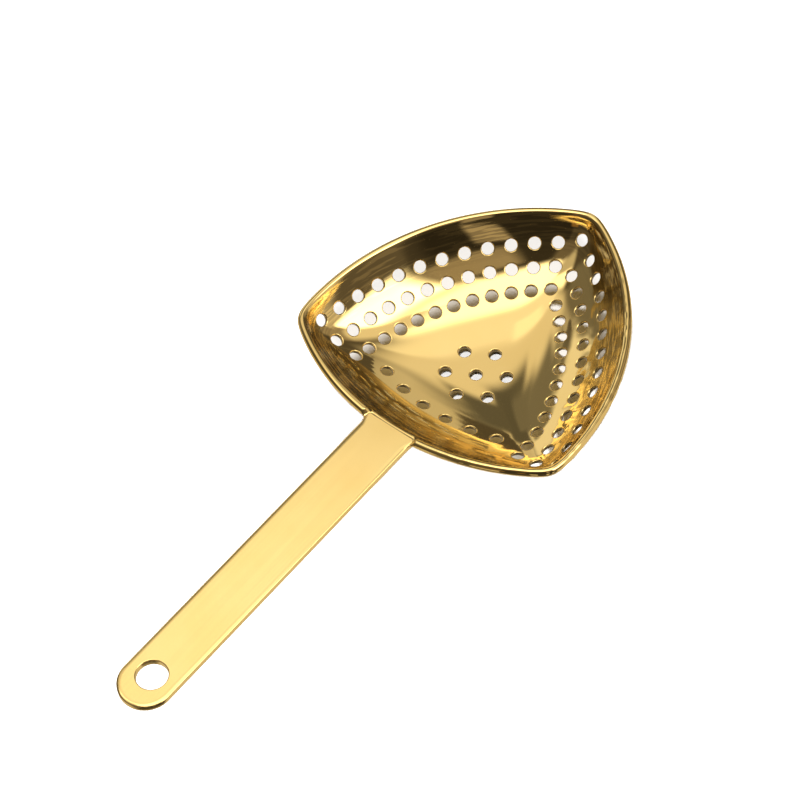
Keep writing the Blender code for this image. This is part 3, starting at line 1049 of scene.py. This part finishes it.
def make_cards():
    """What the polished metal mirrors: softbox, key, screens, flags and the table."""
    none = (0.0, 0.0, 0.0, 0.0)
    soft = (0.2, 0.2, 0.2, 0.2)
    make_card("dark_studio", (0, 360), (-6, 76), BROWN, 0.09, none, 0)
    make_card("table", (0, 360), (-90, -4), TAN, 0.62, none, 0)
    make_card("dark_front", (150, 286), (-70, 2), BROWN, 0.06, (0.3, 0.12, 0.3, 0.1), 1)
    make_card("softbox", (0, 360), (62, 90), WHITE, 2.4, (0.0, 0.0, 0.45, 0.0), 1)
    make_card("far_screen", (-10, 92), (34, 74), CREAM, 0.84, (0.35, 0.1, 0.3, 0.3), 2)
    make_card("upper_screen", (-20, 95), (53, 78), WHITE, 1.08, (0.4, 0.15, 0.16, 0.45), 3)
    make_card("handle_screen", (44, 72), (54, 64), WHITE, 1.30, (0.15, 0.3, 0.2, 0.3), 4)
    make_card("low_screen", (2, 88), (-4, 44), CREAM, 0.62, (0.25, 0.1, 0.05, 0.2), 1)
    make_card("low_glow", (44, 88), (6, 32), WHITE, 0.90, (0.3, 0.15, 0.3, 0.25), 2)
    make_card("left_screen", (98, 176), (44, 73), CREAM, 0.58, (0.1, 0.6, 0.35, 0.1), 2)
    make_card("back_wall", (140, 215), (40, 73), BROWN, 0.16, (0.4, 0.2, 0.2, 0.12), 3)
    make_card("wide_flag", (23, 86), (28, 42), WHITE, 0.19, (0.2, 0.25, 0.3, 0.3), 3)
    make_card("tall_flag", (39, 55.5), (18, 51.4), WHITE, 0.11, (0.13, 0.2, 0.2, 0.08), 4)
    make_card("corner_flag", (46, 61), (29, 48.6), WHITE, 0.18, (0.2, 0.3, 0.2, 0.2), 5)
    make_card("left_flag", (30.5, 44), (30, 47.2), WHITE, 0.12, (0.25, 0.2, 0.2, 0.2), 6)
    make_card("right_flag", (54, 73), (22, 47), WHITE, 0.19, (0.25, 0.25, 0.12, 0.16), 7)
    make_card("side_flag", (82, 112), (-4, 48), CREAM, 0.18, (0.2, 0.35, 0.1, 0.2), 3)
    make_card("strip", (85, 114), (47, 78), WHITE, 1.9, (0.25, 0.35, 0.3, 0.3), 4)
    make_card("shadow_wall", (196, 262), (-4, 76), BROWN, 0.04, (0.1, 0.1, 0.05, 0.12), 2)
    make_card("brown_wall", (262, 300), (-4, 40), BROWN, 0.19, (0.1, 0.2, 0.05, 0.2), 2)
    make_card("high_patch", (230, 270), (44, 68), BROWN, 0.34, soft, 3)
    make_card("low_patch", (230, 244), (25, 42), BROWN, 0.42, soft, 3)
    make_card("right_wall", (306, 352), (4, 62), BROWN, 0.34, soft, 2)
    make_card("right_screen", (304, 352), (44, 78), CREAM, 0.85, (0.1, 0.4, 0.2, 0.2), 3)
    make_card("right_bounce", (285, 322), (-64, 42), TAN, 0.72, (0.15, 0.2, 0.1, 0.1), 3)
    make_card("key", (264, 314), (34, 70), WHITE, 3.8, soft, 4)
    make_card("glow_left", (188, 204), (0, 12), ORANGE, 0.38, soft, 4)


def make_world():
    """A white surround; the lamps alone light the floor, so that its shade stays soft."""
    world = bpy.data.worlds.new("studio")
    bpy.context.scene.world = world
    world.use_nodes = True
    background = world.node_tree.nodes["Background"]
    background.inputs["Color"].default_value = (1.0, 1.0, 1.0, 1.0)
    background.inputs["Strength"].default_value = 1.0
    world.cycles_visibility.diffuse = False


def floor_material():
    """Plain white paint that is clear when seen from below."""
    material = bpy.data.materials.new("white_floor")
    material.use_nodes = True
    tree = material.node_tree
    shader = tree.nodes["Principled BSDF"]
    shader.inputs["Base Color"].default_value = (0.9, 0.9, 0.9, 1.0)
    shader.inputs["Roughness"].default_value = 1.0
    shader.inputs["Specular IOR Level"].default_value = 0.0
    from_below = node(tree, "ShaderNodeNewGeometry").outputs["Backfacing"]
    clear = node(tree, "ShaderNodeBsdfTransparent").outputs["BSDF"]
    surface = blended(tree, from_below, shader.outputs["BSDF"], clear)
    fill(tree, tree.nodes["Material Output"].inputs["Surface"], surface)
    return material


def make_floor():
    """The floor that the strainer stands on."""
    half = FLOOR_HALF_SIZE
    corners = [(-half, -half), (half, -half), (half, half), (-half, half)]
    mesh = bpy.data.meshes.new("floor")
    mesh.from_pydata([(x, y, FLOOR_HEIGHT) for x, y in corners], [], [(0, 1, 2, 3)])
    mesh.materials.append(floor_material())
    floor = bpy.data.objects.new("floor", mesh)
    bpy.context.collection.objects.link(floor)
    floor.visible_glossy = False


def add_lamp(name, kind, strength):
    """A lamp for the floor alone, which neither the camera nor the polished metal sees."""
    data = bpy.data.lights.new(name, kind)
    data.energy = strength
    lamp = bpy.data.objects.new(name, data)
    bpy.context.collection.objects.link(lamp)
    lamp.visible_glossy = False
    lamp.visible_camera = False
    return lamp


def make_lamps(front_place, bowl_centre):
    """A lamp at the camera, shaded off the bowl's mouth, and a broad sun behind the object."""
    front = add_lamp("front_lamp", "POINT", FRONT_LAMP_POWER)
    front.location = front_place
    front.data.shadow_soft_size = FRONT_LAMP_SIZE
    back = add_lamp("back_lamp", "SUN", BACK_LAMP_STRENGTH)
    towards = ray_towards(BACK_LAMP_AZIMUTH, BACK_LAMP_ELEVATION)
    back.rotation_euler = towards.to_track_quat("Z", "Y").to_euler()
    back.data.angle = BACK_LAMP_ANGLE
    make_bowl_shade(np.array(front_place), np.array(bowl_centre))


def make_bowl_shade(lamp_place, bowl_centre):
    """A card on the front lamp's way that keeps its light from falling through the bowl."""
    angles = np.linspace(0.0, 2 * math.pi, BOWL_SHADE_SIDES, endpoint=False)
    outline = dish_points(angles, np.full(BOWL_SHADE_SIDES, BOWL_SHADE_LEVEL))
    outline[:, 2] = 0.0
    points = bowl_centre + outline
    points += (lamp_place - points) * BOWL_SHADE_SHARE
    mesh = bpy.data.meshes.new("bowl_shade")
    mesh.from_pydata(points.tolist(), [], [tuple(range(BOWL_SHADE_SIDES))])
    shade = bpy.data.objects.new("bowl_shade", mesh)
    bpy.context.collection.objects.link(shade)
    shade.visible_camera = False
    shade.visible_glossy = False
    shade.visible_diffuse = False


def design_origin():
    """Where the design frame's origin lies in the world, worked out from the bowl's CAD box."""
    low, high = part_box("strainer_bowl")
    far_end = float(rim_distance(np.array(0.0))) + BEAD_RADIUS
    floor = dish_points(np.array(0.0), np.array(0.0))[2] - SHEET
    return (high[0] - far_end, 0.0, low[2] - floor)


def place_piece(piece, cad_node, material):
    """Rides a piece on the body, in place of its CAD node and with its material."""
    piece.data.materials.append(material)
    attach(piece, "root")
    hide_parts(cad_node)


def main():
    bpy.context.scene.view_settings.view_transform = "Standard"
    camera_place = make_camera()
    origin = design_origin()
    place_piece(bowl_mesh(origin), "strainer_bowl", bowl_material())
    place_piece(handle_mesh(origin), "handle", handle_material())
    place_piece(weld_mesh(origin), "weld_fillet", weld_material())
    make_world()
    make_floor()
    make_lamps(camera_place, origin)
    make_cards()


main()
